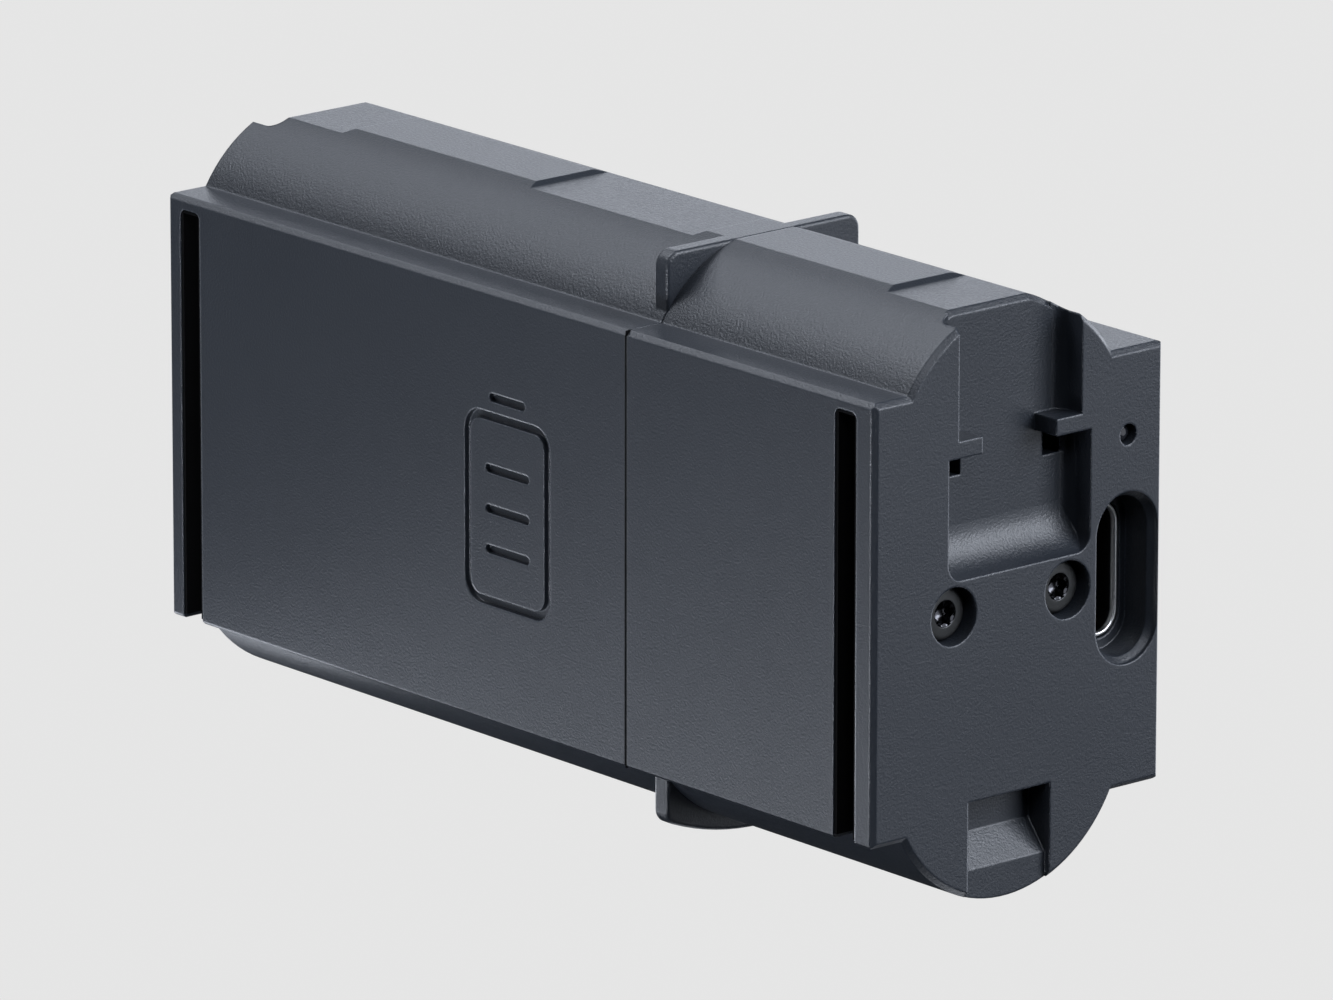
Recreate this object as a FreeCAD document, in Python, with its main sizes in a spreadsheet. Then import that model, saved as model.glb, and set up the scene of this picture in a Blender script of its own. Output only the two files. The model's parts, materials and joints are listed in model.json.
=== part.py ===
import FreeCAD, Part
import os
import Sketcher

# Rechargeable two-cell battery pack with a USB-C port, in millimetres.
# +X runs along the two stacked cells towards the port end, +Y from the front plate to the rear,
# +Z up. The origin is the middle of the front plate's flat face.

SIZES = {
    # outer housing
    "case_length": 70.8, "plate_depth": 24.5, "plate_height": 29.0,
    "cell_depth": 11.6, "upper_axis": 9.2, "lower_axis": 9.75,
    "barrel_radius": 10.1, "flat_height": 18.75, "pad_height": 19.0, "riser_run": 0.4,
    "left_pad_start": 27.2, "left_pad_end": 7.85, "right_pad_start": 8.3, "right_pad_end": 27.15,
    "edge_bevel": 0.35, "foot_bevel": 0.2, "rear_round": 0.4,
    "seam_place": 11.45, "seam_gap": 0.12,
    "tongue_length": 1.9, "tongue_thick": 0.3, "tongue_clear": 0.05,
    "fin_thick": 1.2, "fin_half": 8.15, "fin_corner": 1.0, "fin_edge": 0.25,
    "fin_sweep": 19.8, "fin_sweep_drop": 0.8,
    "wall": 1.5, "cavity_radius": 9.2, "cavity_end": 4.8, "deep_end": 3.3, "deep_front": 4.2,
    # slots in the front plate
    "slot_width": 2.05, "slot_depth": 2.6, "slot_top": 13.65, "slot_corner": 0.5,
    "right_slot": 32.7, "left_slot": 33.0, "liner_wall": 0.25, "liner_inset": 0.1, "liner_rise": 0.3,
    # latch recess in each end
    "recess_depth": 2.1, "far_recess_depth": 2.6, "recess_near": 7.08, "recess_far": 17.5,
    "pocket_near": 6.27, "pocket_far": 18.32, "pocket_floor": 1.8, "pocket_sweep": 3.2,
    "sweep_rise": 3.0, "pocket_corner": 1.2,
    "recess_fillet": 0.9, "tab_bottom": 9.8, "tab_top": 10.9, "near_tab": 2.0, "far_tab": 2.15,
    "window_bottom": 8.0, "window_near": 2.8, "window_far": 2.3,
    # notch under the port end
    "notch_near": 8.08, "notch_far": 15.08, "notch_top": 12.9, "notch_depth": 2.07,
    "ramp_top": 15.6, "ramp_bottom": 17.6, "sill_depth": 0.5,
    # charging mark
    "mark_x": 0.3, "mark_z": 0.15, "mark_depth": 0.4, "mark_line": 0.6,
    "mark_width": 8.6, "mark_height": 13.0, "mark_round": 1.6, "nub_width": 3.6, "nub_height": 1.0,
    "bar_width": 4.4, "bar_pitch": 2.7,
    # screws
    "screw_near": 6.77, "screw_far": 16.4, "screw_z": 0.43, "screw_bore": 3.85, "screw_sink": 0.86,
    "head_radius": 1.75, "head_height": 1.3, "head_round": 0.45, "shank_radius": 1.0,
    "shank_length": 9.0, "socket_depth": 0.75, "socket_core": 0.6, "lobe_radius": 0.22,
    "lobe_place": 0.68, "shank_clear": 0.1, "post_radius": 2.1, "post_clear": 0.02,
    # cells
    "can_radius": 9.0, "can_wall": 0.25, "can_floor": 30.3, "can_top": 18.7, "cap_top": 19.2,
    "groove_radius": 8.4, "groove_start": 15.6, "groove_run": 0.5, "groove_flat": 0.8,
    "lip_radius": 7.4, "cap_radius": 7.8, "nub_radius": 3.5, "seal_radius": 8.7,
    "seal_lip": 0.2, "seal_bore": 7.2,
    "roll_radius": 8.6, "roll_end": 15.0, "mandrel_radius": 1.5, "wrap_clear": 0.02,
    "wrap_thick": 0.1, "washer_bore": 4.0, "washer_radius": 8.9, "washer_thick": 0.1,
    # carrier
    "carrier_clear": 0.2, "disc_radius": 9.1, "pocket_radius": 9.15, "pocket_depth": 0.8,
    "stop_thick": 0.6, "access_radius": 6.0, "rail_radius": 1.4,
    "ledge_width": 1.2, "ledge_height": 1.24, "ledge_inset": 11.4, "ledge_end": 31.0,
    # strips and insulation
    "strip_thick": 0.15, "strip_near": 9.2, "strip_far": 14.0, "strip_reach": 12.0,
    "weld_radius": 3.0, "lead_near": 3.3, "lead_far": 2.7, "foot_end": 22.5,
    "tab_low": 5.5, "tab_high": 8.5, "paper_thick": 0.15, "paper_near": 2.6, "paper_far": 17.4,
    "paper_reach": 12.2, "sleeve_wall": 0.1, "foam_near": 5.0, "foam_far": 19.0, "foam_reach": 12.0,
    # circuit board and what is on it
    "board_start": 20.4, "board_end": 31.4, "board_face": 18.84, "board_thick": 1.0,
    "board_reach": 12.4, "board_corner": 0.6,
    "port_z": 0.6, "port_mouth": 32.77, "port_back": 25.42, "port_thick": 3.26, "port_width": 8.94,
    "port_skin": 0.3, "tongue_tip": 31.7, "port_base": 27.2, "blade_thick": 0.7, "blade_width": 6.7,
    "pin_count": 12, "pin_pitch": 0.5, "pin_width": 0.25, "pin_length": 3.2, "pin_thick": 0.05,
    "port_rim": 5.3, "rim_height": 11.4, "rim_depth": 0.65, "rim_taper": 0.4, "port_well": 4.5,
    "well_height": 10.6,
    "port_clear": 0.12,
    "light_z": 8.86, "light_y": 21.47, "light_hole": 0.7, "pipe_radius": 0.68, "pipe_sink": 0.45,
    "pipe_dome": 0.5,
    "collar_radius": 1.2, "collar_thick": 0.88,
    # output contacts in the rear
    "block_start": 20.9, "block_end": 30.3, "block_low": 12.2, "block_high": 6.4, "block_sink": 0.3,
    "block_clear": 0.15, "blade_pitch": 2.3, "blade_x": 22.15, "blade_half": 0.75,
    "blade_reach": 2.2, "blade_face": 0.25, "blade_proud": 0.1, "stem_half": 0.25,
    "stem_reach": 0.6,
    # temperature probe
    "bead_y": 19.79, "bead_z": 3.46, "bead_radius": 0.85, "bead_start": 11.5, "bead_end": 14.5,
    "wire_radius": 0.22, "wire_end": 21.4, "wire_gap": 0.8,
}

doc = FreeCAD.newDocument("battery_pack")
sheet = doc.addObject("Spreadsheet::Sheet", "Sizes")
for row, (alias, number) in enumerate(SIZES.items(), 1):
    sheet.set("A%d" % row, alias)
    sheet.set("B%d" % row, str(number))
    sheet.setAlias("B%d" % row, alias)
doc.recompute()


class Dim:
    """A length that carries both its number and the sheet expression that gives it."""

    def __init__(self, number, text):
        self.number = float(number)
        self.text = text

    def __add__(self, other):
        other = dim(other)
        return Dim(self.number + other.number, "(%s + %s)" % (self.text, other.text))

    def __sub__(self, other):
        other = dim(other)
        return Dim(self.number - other.number, "(%s - %s)" % (self.text, other.text))

    def __rsub__(self, other):
        return dim(other) - self

    def __mul__(self, factor):
        return Dim(self.number * factor, "(%s * %s)" % (self.text, factor))

    def __truediv__(self, factor):
        return Dim(self.number / factor, "(%s / %s)" % (self.text, factor))

    def __neg__(self):
        return Dim(-self.number, "(0 - %s)" % self.text)

    __radd__ = __add__


def dim(amount):
    """Turn a plain number into a Dim, and leave a Dim as it is."""
    return amount if isinstance(amount, Dim) else Dim(amount, "(%s)" % float(amount))


class Sizes:
    """Gives each cell of the sheet as a Dim of the same name."""

    def __getattr__(self, alias):
        return Dim(SIZES[alias], "Sizes.%s" % alias)


s = Sizes()
nodes = []

ALONG_X = FreeCAD.Rotation(FreeCAD.Vector(0, 1, 0), 90)
ALONG_Y = FreeCAD.Rotation(FreeCAD.Vector(1, 0, 0), -90)
YZ_PLANE = FreeCAD.Rotation(0.5, 0.5, 0.5, 0.5)
XZ_PLANE = FreeCAD.Rotation(FreeCAD.Vector(1, 0, 0), 90)
PAST = 1.0            # how far a cutting tool runs past the face it opens
NEAR = 1e-4           # tolerance for picking edges


def place(item, corner, rotation=FreeCAD.Rotation()):
    item.Placement = FreeCAD.Placement(FreeCAD.Vector(0, 0, 0), rotation)
    for axis, amount in zip("xyz", corner):
        item.setExpression("Placement.Base." + axis, dim(amount).text)


def box(name, x, y, z):
    """A block between two ends on each axis."""
    item = doc.addObject("Part::Box", name)
    for prop, (low, high) in zip(("Length", "Width", "Height"), (x, y, z)):
        item.setExpression(prop, (dim(high) - low).text)
    place(item, (x[0], y[0], z[0]))
    return item


def rod(name, x, y, z, radius):
    """A cylinder along X, at y, z, between the two ends x."""
    item = doc.addObject("Part::Cylinder", name)
    item.setExpression("Radius", dim(radius).text)
    item.setExpression("Height", (dim(x[1]) - x[0]).text)
    place(item, (x[0], y, z), ALONG_X)
    return item


def rod_y(name, x, y, z, radius):
    """A cylinder along Y, at x, z, between the two ends y."""
    item = doc.addObject("Part::Cylinder", name)
    item.setExpression("Radius", dim(radius).text)
    item.setExpression("Height", (dim(y[1]) - y[0]).text)
    place(item, (x, y[0], z), ALONG_Y)
    return item


def fuse(name, items):
    item = doc.addObject("Part::MultiFuse", name)
    item.Shapes = items
    item.Refine = True
    return item


def common(name, items):
    item = doc.addObject("Part::MultiCommon", name)
    item.Shapes = items
    item.Refine = True
    return item


def cut(name, base, tools):
    """Take all the tools away from the base."""
    item = doc.addObject("Part::Cut", name)
    item.Base = base
    item.Tool = tools[0] if len(tools) == 1 else fuse(name + "_tools", tools)
    item.Refine = True
    return item


def group(name, items):
    item = doc.addObject("Part::Compound", name)
    item.Links = items
    return item


def outline(name, points, rotation):
    """A closed sketch with every corner held to the sheet by two distances."""
    sketch = doc.addObject("Sketcher::SketchObject", name)
    sketch.Placement = FreeCAD.Placement(FreeCAD.Vector(0, 0, 0), rotation)
    points = [(dim(across), dim(up)) for across, up in points]
    corners = [FreeCAD.Vector(across.number, up.number, 0) for across, up in points]
    for index, corner in enumerate(corners):
        sketch.addGeometry(Part.LineSegment(corner, corners[(index + 1) % len(corners)]))
    for index in range(len(corners)):
        following = (index + 1) % len(corners)
        sketch.addConstraint(Sketcher.Constraint("Coincident", index, 2, following, 1))
    for index, corner in enumerate(points):
        for kind, amount in zip(("DistanceX", "DistanceY"), corner):
            held = sketch.addConstraint(Sketcher.Constraint(kind, -1, 1, index, 1, amount.number))
            sketch.setExpression("Constraints[%d]" % held, amount.text)
    return sketch


def prism(name, points, y):
    """An outline in X and Z, run along Y between the two ends y."""
    item = doc.addObject("Part::Extrusion", name)
    item.Base = outline(name + "_outline", points, XZ_PLANE)
    item.DirMode = "Custom"
    item.Dir = FreeCAD.Vector(0, 1, 0)
    item.Solid = True
    item.setExpression("LengthFwd", (dim(y[1]) - y[0]).text)
    item.setExpression("Placement.Base.y", dim(y[0]).text)
    return item


def lathe(name, points, y, z):
    """An outline in X and radius, turned about an X axis at y, z."""
    item = doc.addObject("Part::Revolution", name)
    item.Source = outline(name + "_outline", points, XZ_PLANE)
    item.Axis = FreeCAD.Vector(1, 0, 0)
    item.Angle = 360
    item.Solid = True
    item.setExpression("Placement.Base.y", dim(y).text)
    item.setExpression("Placement.Base.z", dim(z).text)
    return item


def obround(name, x, y, z, width, height):
    """A bar along X with a flat-sided round-ended section, width in Y and height in Z."""
    reach = (dim(height) - width) / 2
    half = dim(width) / 2
    middle = box(name + "_middle", x, (y - half, y + half), (z - reach, z + reach))
    ends = [rod("%s_end_%d" % (name, side), x, y, z + reach * side, half) for side in (-1, 1)]
    return fuse(name, [middle] + ends)


def picked_edges(item, wanted):
    """Numbers of the edges whose middle point and direction the test accepts."""
    doc.recompute()
    found = []
    for number, edge in enumerate(item.Shape.Edges, 1):
        middle = edge.valueAt((edge.FirstParameter + edge.LastParameter) / 2)
        along = edge.tangentAt((edge.FirstParameter + edge.LastParameter) / 2)
        if wanted(middle, along):
            found.append(number)
    if not found:
        raise ValueError("no edges picked on " + item.Name)
    return found


def soften(kind, name, base, size, wanted):
    """Fillet or chamfer, by one size, the edges that the test accepts."""
    item = doc.addObject("Part::" + kind, name)
    item.Base = base
    item.Edges = [(number, size.number, size.number) for number in picked_edges(base, wanted)]
    return item


def same(first, second):
    return abs(first - second) < NEAR


def node(name, item):
    """Keep a finished sub-part under the name of its node."""
    item.Label = name
    nodes.append(item)
    return item


# ---- places worked out from the driving sizes

half_length = s.case_length / 2
half_height = s.plate_height / 2
axes = {"upper": s.upper_axis, "lower": -s.lower_axis}
inner_front = s.wall
inner_rear = s.plate_depth - s.wall
inner_top = half_height - s.wall
cavity_right = half_length - s.cavity_end
deep_right = half_length - s.deep_end
recess_plane = half_length - s.recess_depth
far_recess_plane = half_length - s.far_recess_depth
right_start = s.seam_place + s.seam_gap
board_rear = s.board_face + s.board_thick


# ---- housing

def on_skin(point):
    """True for a point on the skin of the barrels."""
    for axis in axes.values():
        reach = ((point.y - SIZES["cell_depth"]) ** 2 + (point.z - axis.number) ** 2) ** 0.5
        if same(reach, SIZES["barrel_radius"]):
            return True
    return same(point.z, SIZES["flat_height"])


def bevel_ends(name, item, reach):
    """Chamfer the outline of both ends, at a distance reach either side of the middle."""
    return soften("Chamfer", name, item, s.edge_bevel,
                  lambda p, d: same(d.x, 0) and same(abs(p.x), reach.number) and on_skin(p))


def plate_block():
    """The rectangular middle of the housing with its edges softened."""
    span = ((-half_length, half_length), (0, s.plate_depth), (-half_height, half_height))
    top = soften("Chamfer", "plate_top_bevel", box("plate_long_raw", *span), s.edge_bevel,
                 lambda p, d: same(abs(d.x), 1) and same(p.y, 0) and p.z > 0)
    foot = soften("Chamfer", "plate_foot_bevel", top, s.foot_bevel,
                  lambda p, d: same(abs(d.x), 1) and same(p.y, 0) and p.z < 0)
    long = soften("Fillet", "plate_rear_round", foot, s.rear_round,
                  lambda p, d: same(abs(d.x), 1) and same(p.y, s.plate_depth.number))
    level = soften("Chamfer", "plate_level_ends", box("plate_level_raw", *span), s.edge_bevel,
                   lambda p, d: same(abs(d.y), 1))
    upright = soften("Chamfer", "plate_upright_ends", box("plate_upright_raw", *span), s.edge_bevel,
                     lambda p, d: same(abs(d.z), 1))
    return common("plate_block", [long, level, upright])


def pad_limit(name, start, end):
    """A block with sloped ends that leaves a raised pad on top of the upper barrel."""
    low = s.flat_height
    base = low - PAST
    corners = [(start, base), (end, base), (end, low), (end - s.riser_run, s.pad_height),
               (start + s.riser_run, s.pad_height), (start, low)]
    return prism(name, corners, (0, s.plate_depth))


def upper_barrel(name, reach):
    """The barrel over the upper cell, cut to flats and raised pads, with bevelled ends."""
    round_bar = rod(name + "_round", (-reach, reach), s.cell_depth, s.upper_axis, s.barrel_radius)
    limits = [
        box(name + "_flat", (-half_length, half_length), (0, s.plate_depth), (0, s.flat_height)),
        pad_limit(name + "_left_pad", -s.left_pad_start, -s.left_pad_end),
        pad_limit(name + "_right_pad", s.right_pad_start, s.right_pad_end),
    ]
    plain = common(name + "_plain", [round_bar, fuse(name + "_limits", limits)])
    return bevel_ends(name, plain, reach)


def lower_barrel():
    plain = rod("lower_barrel_plain", (-half_length, half_length), s.cell_depth, -s.lower_axis,
                s.barrel_radius)
    return bevel_ends("lower_barrel", plain, half_length)


def mirrored(name, item):
    """The same shape on the other end, mirrored in X."""
    copy = doc.addObject("Part::Mirroring", name)
    copy.Source = item
    copy.Normal = FreeCAD.Vector(1, 0, 0)
    return copy


def latch_recess(side, plane):
    """Tool for the recess in one end: a hollow down to the plane, with two tabs across its walls."""
    outer = half_length + PAST
    top = s.flat_height + PAST * 2
    upper = box(side + "_recess_upper_raw", (plane, outer), (s.recess_near, s.recess_far), (s.tab_top, top))
    upper = soften("Fillet", side + "_recess_upper", upper, s.recess_fillet,
                   lambda p, d: same(abs(d.z), 1) and same(p.x, plane.number))
    throat = box(side + "_recess_throat", (plane, outer),
                 (s.recess_near + s.near_tab, s.recess_far - s.far_tab), (s.tab_bottom - 1, s.tab_top + 1))
    pocket = box(side + "_pocket_raw", (plane, outer), (s.pocket_near, s.pocket_far),
                 (s.pocket_floor, s.tab_bottom))
    pocket = soften("Fillet", side + "_pocket_walls", pocket, s.recess_fillet,
                    lambda p, d: same(abs(d.z), 1) and same(p.x, plane.number))
    pocket = soften("Fillet", side + "_pocket_corners", pocket, s.pocket_corner,
                    lambda p, d: same(abs(d.x), 1) and same(p.z, s.pocket_floor.number))
    across = (s.pocket_near - PAST, s.pocket_far + PAST)
    sweep_x = plane + s.pocket_sweep
    sweep_z = s.pocket_floor + s.sweep_rise
    sweep = rod_y(side + "_floor_sweep", sweep_x, across, sweep_z, s.pocket_sweep)
    above = box(side + "_floor_above", (plane, sweep_x + PAST), across, (sweep_z, s.tab_bottom))
    pocket = common(side + "_recess_pocket", [pocket, fuse(side + "_floor_shape", [sweep, above])])
    return fuse(side + "_latch_recess", [upper, throat, pocket])


def recess_brow():
    """Tool that bevels the top edge of the wall at the back of the port end's recess."""
    raw = box("recess_brow_raw", (recess_plane - s.edge_bevel, recess_plane),
              (s.recess_near + s.recess_fillet, s.recess_far - s.recess_fillet),
              (s.tab_top, s.flat_height + PAST * 2))
    return cut("recess_brow", raw, [upper_barrel("recess_barrel", recess_plane)])


def latch_windows(side, plane):
    """Tools for the two windows in a recess wall, one under each tab."""
    x = (deep_right - PAST / 2, plane + NEAR)
    z = (s.window_bottom, s.tab_bottom)
    near = box(side + "_near_window", x, (s.pocket_near, s.pocket_near + s.window_near), z)
    far = box(side + "_far_window", x, (s.pocket_far - s.window_far, s.pocket_far), z)
    return group(side + "_latch_windows", [near, far])


def envelope():
    """The outer shape of both housings together, with recesses and bevelled ends."""
    pieces = [plate_block(), upper_barrel("upper_barrel", half_length), lower_barrel()]
    recesses = [latch_recess("port_end", recess_plane), recess_brow(),
                mirrored("left_recess", latch_recess("far_end", far_recess_plane))]
    return cut("envelope", fuse("envelope_full", pieces), recesses)


def core(name, x, grow):
    """The hollow inside the housings, grown outwards by some amount."""
    middle = box(name + "_middle", x, (inner_front - grow, inner_rear + grow),
                 (-inner_top - grow, inner_top + grow))
    rounds = [rod("%s_%s" % (name, side), x, s.cell_depth, axis, s.cavity_radius + grow)
              for side, axis in axes.items()]
    return fuse(name, [middle] + rounds)


def slot_tool(name, centre):
    """A guide slot in the front plate, open at the bottom, with rounded upper corners."""
    half = s.slot_width / 2
    raw = box(name + "_raw", (centre - half, centre + half), (-PAST, s.slot_depth),
              (-half_height - PAST, s.slot_top))
    return soften("Fillet", name, raw, s.slot_corner,
                  lambda p, d: same(abs(d.y), 1) and same(p.z, s.slot_top.number))


def slot_liner(name, tool, centre):
    """A thin U-shaped rubber channel that lines a guide slot."""
    half = s.slot_width / 2
    room = box(name + "_room", (centre - half, centre + half), (s.liner_inset, s.slot_depth),
               (-half_height + s.liner_rise, s.slot_top))
    full = common(name + "_full", [tool, room])
    hollow = box(name + "_hollow", (centre - half + s.liner_wall, centre + half - s.liner_wall),
                 (-PAST, s.slot_depth - s.liner_wall), (-half_height - PAST, s.slot_top - s.liner_wall))
    return node(name, cut(name, full, [hollow]))


def charging_mark():
    """Tool for an upright battery pictogram: outline, nub and three level bars."""
    y = (-PAST, s.mark_depth)
    line = s.mark_line

    def plaque(name, grow):
        raw = box(name + "_raw", (-s.mark_x - s.mark_width / 2 - grow, -s.mark_x + s.mark_width / 2 + grow),
                  y, (-s.mark_z - s.mark_height / 2 - grow, -s.mark_z + s.mark_height / 2 + grow))
        return soften("Fillet", name, raw, s.mark_round + grow, lambda p, d: same(abs(d.y), 1))

    ring = cut("mark_ring", plaque("mark_outer", dim(0)), [plaque("mark_inner", -line)])

    def bar(name, width, z):
        reach = (dim(width) - line) / 2
        middle = box(name + "_middle", (-s.mark_x - reach, -s.mark_x + reach), y,
                     (z - line / 2, z + line / 2))
        ends = [rod_y("%s_end_%d" % (name, side), -s.mark_x + reach * side, y, z, line / 2)
                for side in (-1, 1)]
        return fuse(name, [middle] + ends)

    nub_z = -s.mark_z + s.mark_height / 2 + s.nub_height
    bars = [bar("mark_nub", s.nub_width, nub_z)]
    bars += [bar("mark_level_%d" % level, s.bar_width, s.bar_pitch * (level - 1) - s.mark_z)
             for level in range(3)]
    return group("charging_mark", [ring] + bars)


def fin():
    """The upright rib that stands around the housing beside the seam."""
    x = (s.seam_place - s.fin_thick, right_start)
    y = (s.cell_depth - s.fin_half, s.cell_depth + s.fin_half)
    upper = box("fin_upper", x, y, (-s.fin_sweep_drop, s.pad_height))
    lower = box("fin_lower", x, y, (-s.fin_sweep - PAST * 2, -s.fin_sweep_drop))
    sweep = rod("fin_sweep", x, s.cell_depth, -s.fin_sweep_drop, s.fin_sweep)
    raw = fuse("fin_raw", [upper, common("fin_foot", [lower, sweep])])
    sides = (y[0].number, y[1].number)

    def corner(point, along):
        return same(abs(along.x), 1) and any(same(point.y, side) for side in sides)

    round_fin = soften("Fillet", "fin_rounded", raw, s.fin_corner, corner)
    return soften("Fillet", "fin", round_fin, s.fin_edge,
                  lambda p, d: same(d.x, 0) and any(same(p.x, end.number) for end in x))


def left_housing(shell, slot):
    half = box("left_half", (-half_length - PAST, s.seam_place), (-PAST, s.plate_depth + PAST),
               (-half_height * 2, half_height * 2))
    body = common("left_body", [shell, half])
    hollow = core("left_core", (-cavity_right, s.seam_place + PAST), dim(0))
    solid_fin = cut("fin_trimmed", fin(), [core("fin_core", (0, s.seam_place + PAST), dim(0))])
    deep = box("left_deep", (-deep_right, -cavity_right + PAST), (s.deep_front, inner_rear),
               (-inner_top, inner_top))
    rebate = core("left_rebate", (s.seam_place - s.tongue_length - s.tongue_clear, s.seam_place + PAST),
                  s.tongue_thick + s.tongue_clear)
    whole = fuse("left_with_fin", [body, solid_fin])
    windows = mirrored("left_windows", latch_windows("far_end", far_recess_plane))
    tools = [hollow, deep, rebate, windows, slot]
    plain = cut("left_plain", whole, tools)
    return node("left_housing", cut("left_housing", plain, [charging_mark()]))


def port_tools():
    """Tools for the port's rim, its well and the opening that the port's shell passes."""
    y, z = s.light_y, -s.port_z
    rim = obround("port_rim_tool", (half_length - s.rim_depth, half_length + PAST), y, z,
                  s.port_rim, s.rim_height)
    foot = half_length - s.rim_depth
    rim = soften("Chamfer", "port_rim_taper", rim, s.rim_taper,
                 lambda p, d: same(p.x, foot.number) and same(d.x, 0))
    well = obround("port_well_tool", (s.port_mouth, half_length), y, z, s.port_well, s.well_height)
    gap = s.port_clear * 2
    opening = obround("port_opening", (deep_right - PAST, s.port_mouth + NEAR), y, z,
                      s.port_thick + gap, s.port_width + gap)
    return [rim, well, opening]


def notch_tool():
    """The notch under the port end: a square hollow, a ramp and a shallow sill down to the edge."""
    back = half_length - s.notch_depth
    sill = half_length - s.sill_depth
    outer = half_length + PAST
    below = -half_height * 2
    corners = [(back, -s.notch_top), (outer, -s.notch_top), (outer, below), (sill, below),
               (sill, -s.ramp_bottom), (back, -s.ramp_top)]
    return prism("notch_tool", corners, (s.notch_near, s.notch_far))


def screw_seat():
    return half_length - s.screw_sink - s.head_height


def right_housing(shell, slot):
    half = box("right_half", (right_start, half_length + PAST), (-PAST, s.plate_depth + PAST),
               (-half_height * 2, half_height * 2))
    tongue_x = (s.seam_place - s.tongue_length, right_start + PAST)
    tongue = core("tongue", tongue_x, s.tongue_thick)
    whole = fuse("right_whole", [common("right_body", [shell, half]), tongue])
    hollow = core("right_core", (0, cavity_right), dim(0))
    deep = box("right_deep", (cavity_right - PAST, deep_right), (s.deep_front, inner_rear),
               (-inner_top, inner_top))
    windows = latch_windows("port_end", recess_plane)
    tools = [hollow, deep, windows, slot, notch_tool()] + port_tools()
    for side, y in (("near", s.screw_near), ("far", s.screw_far)):
        tools.append(rod(side + "_bore", (screw_seat(), half_length + PAST), y, -s.screw_z,
                         s.screw_bore / 2))
        tools.append(rod(side + "_hole", (deep_right - PAST, half_length), y, -s.screw_z,
                         s.shank_radius + s.shank_clear))
    tools.append(rod("light_hole", (deep_right - PAST, half_length + PAST), s.light_y, s.light_z,
                     s.light_hole))
    tools.append(box("contact_window", (s.block_start - s.block_clear, s.block_end + s.block_clear),
                     (inner_rear - PAST / 2, s.plate_depth + PAST),
                     (-s.block_low - s.block_clear, -s.block_high + s.block_clear)))
    return node("right_housing", cut("right_housing", whole, tools))


# ---- screws

def end_screw(name, y):
    """A pan-head screw with a six-lobed socket."""
    seat = screw_seat()
    top = seat + s.head_height
    head = rod(name + "_head_raw", (seat, top), y, -s.screw_z, s.head_radius)
    head = soften("Fillet", name + "_head", head, s.head_round,
                  lambda p, d: same(p.x, top.number) and same(d.x, 0))
    shank = rod(name + "_shank", (seat - s.shank_length, seat), y, -s.screw_z, s.shank_radius)
    socket_x = (top - s.socket_depth, top + PAST)
    socket = [rod(name + "_socket", socket_x, y, -s.screw_z, s.socket_core)]
    for lobe in range(6):
        turn = FreeCAD.Vector(s.lobe_place.number, 0, 0)
        turn = FreeCAD.Rotation(FreeCAD.Vector(0, 0, 1), 60 * lobe).multVec(turn)
        item = rod("%s_lobe_%d" % (name, lobe), socket_x, y + turn.x, turn.y - s.screw_z, s.lobe_radius)
        socket.append(item)
    return cut(name, fuse(name + "_blank", [head, shank]), socket)


def end_screws():
    screws = [end_screw("near_screw", s.screw_near), end_screw("far_screw", s.screw_far)]
    return node("end_screws", group("end_screws", screws))


# ---- cells

def cell(side, axis):
    """One cylindrical cell: can, roll, seal, cap, wrap and washer."""
    floor, top = -s.can_floor, s.can_top
    skin, groove = s.can_radius, s.groove_radius
    start = s.groove_start
    stop = start + s.groove_run * 2 + s.groove_flat
    wall = s.can_wall
    can = [(floor, 0), (floor, skin - wall), (floor + wall, skin), (start, skin),
           (start + s.groove_run, groove), (stop - s.groove_run, groove), (stop, skin), (top, skin),
           (top, s.lip_radius), (top - wall, s.lip_radius), (top - wall, skin - wall),
           (stop, skin - wall), (stop - s.groove_run, groove - wall),
           (start + s.groove_run, groove - wall), (start, skin - wall), (floor + wall, skin - wall),
           (floor + wall, 0)]
    node(side + "_cell_can", lathe(side + "_cell_can", can, s.cell_depth, axis))

    roll_x = (floor + wall * 2, s.roll_end)
    roll = rod(side + "_roll_raw", roll_x, s.cell_depth, axis, s.roll_radius)
    mandrel = rod(side + "_mandrel", (floor, s.roll_end + PAST), s.cell_depth, axis, s.mandrel_radius)
    node(side + "_electrode_roll", cut(side + "_electrode_roll", roll, [mandrel]))

    inner = stop
    under_lip = top - wall - s.seal_lip
    seal = [(inner, s.cap_radius), (inner, s.seal_radius), (top - wall, s.seal_radius),
            (top - wall, s.seal_bore), (under_lip, s.seal_bore), (under_lip, s.cap_radius)]
    node(side + "_cell_seal", lathe(side + "_cell_seal", seal, s.cell_depth, axis))

    cap = [(inner, 0), (inner, s.cap_radius), (under_lip, s.cap_radius), (under_lip, s.nub_radius),
           (s.cap_top - wall, s.nub_radius), (s.cap_top, s.nub_radius - wall), (s.cap_top, 0)]
    node(side + "_cell_cap", lathe(side + "_cell_cap", cap, s.cell_depth, axis))

    inside = skin + s.wrap_clear
    outside = inside + s.wrap_thick
    wrap = [(floor + wall * 2, inside), (floor + wall * 2, outside), (top, outside), (top, inside)]
    node(side + "_cell_wrap", lathe(side + "_cell_wrap", wrap, s.cell_depth, axis))

    washer = [(top, s.washer_bore), (top, s.washer_radius), (top + s.washer_thick, s.washer_radius),
              (top + s.washer_thick, s.washer_bore)]
    node(side + "_cell_washer", lathe(side + "_cell_washer", washer, s.cell_depth, axis))


# ---- carrier that holds the cells and the board

left_stop = -s.can_floor - s.stop_thick
right_stop = s.can_top + s.washer_thick + s.stop_thick


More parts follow.
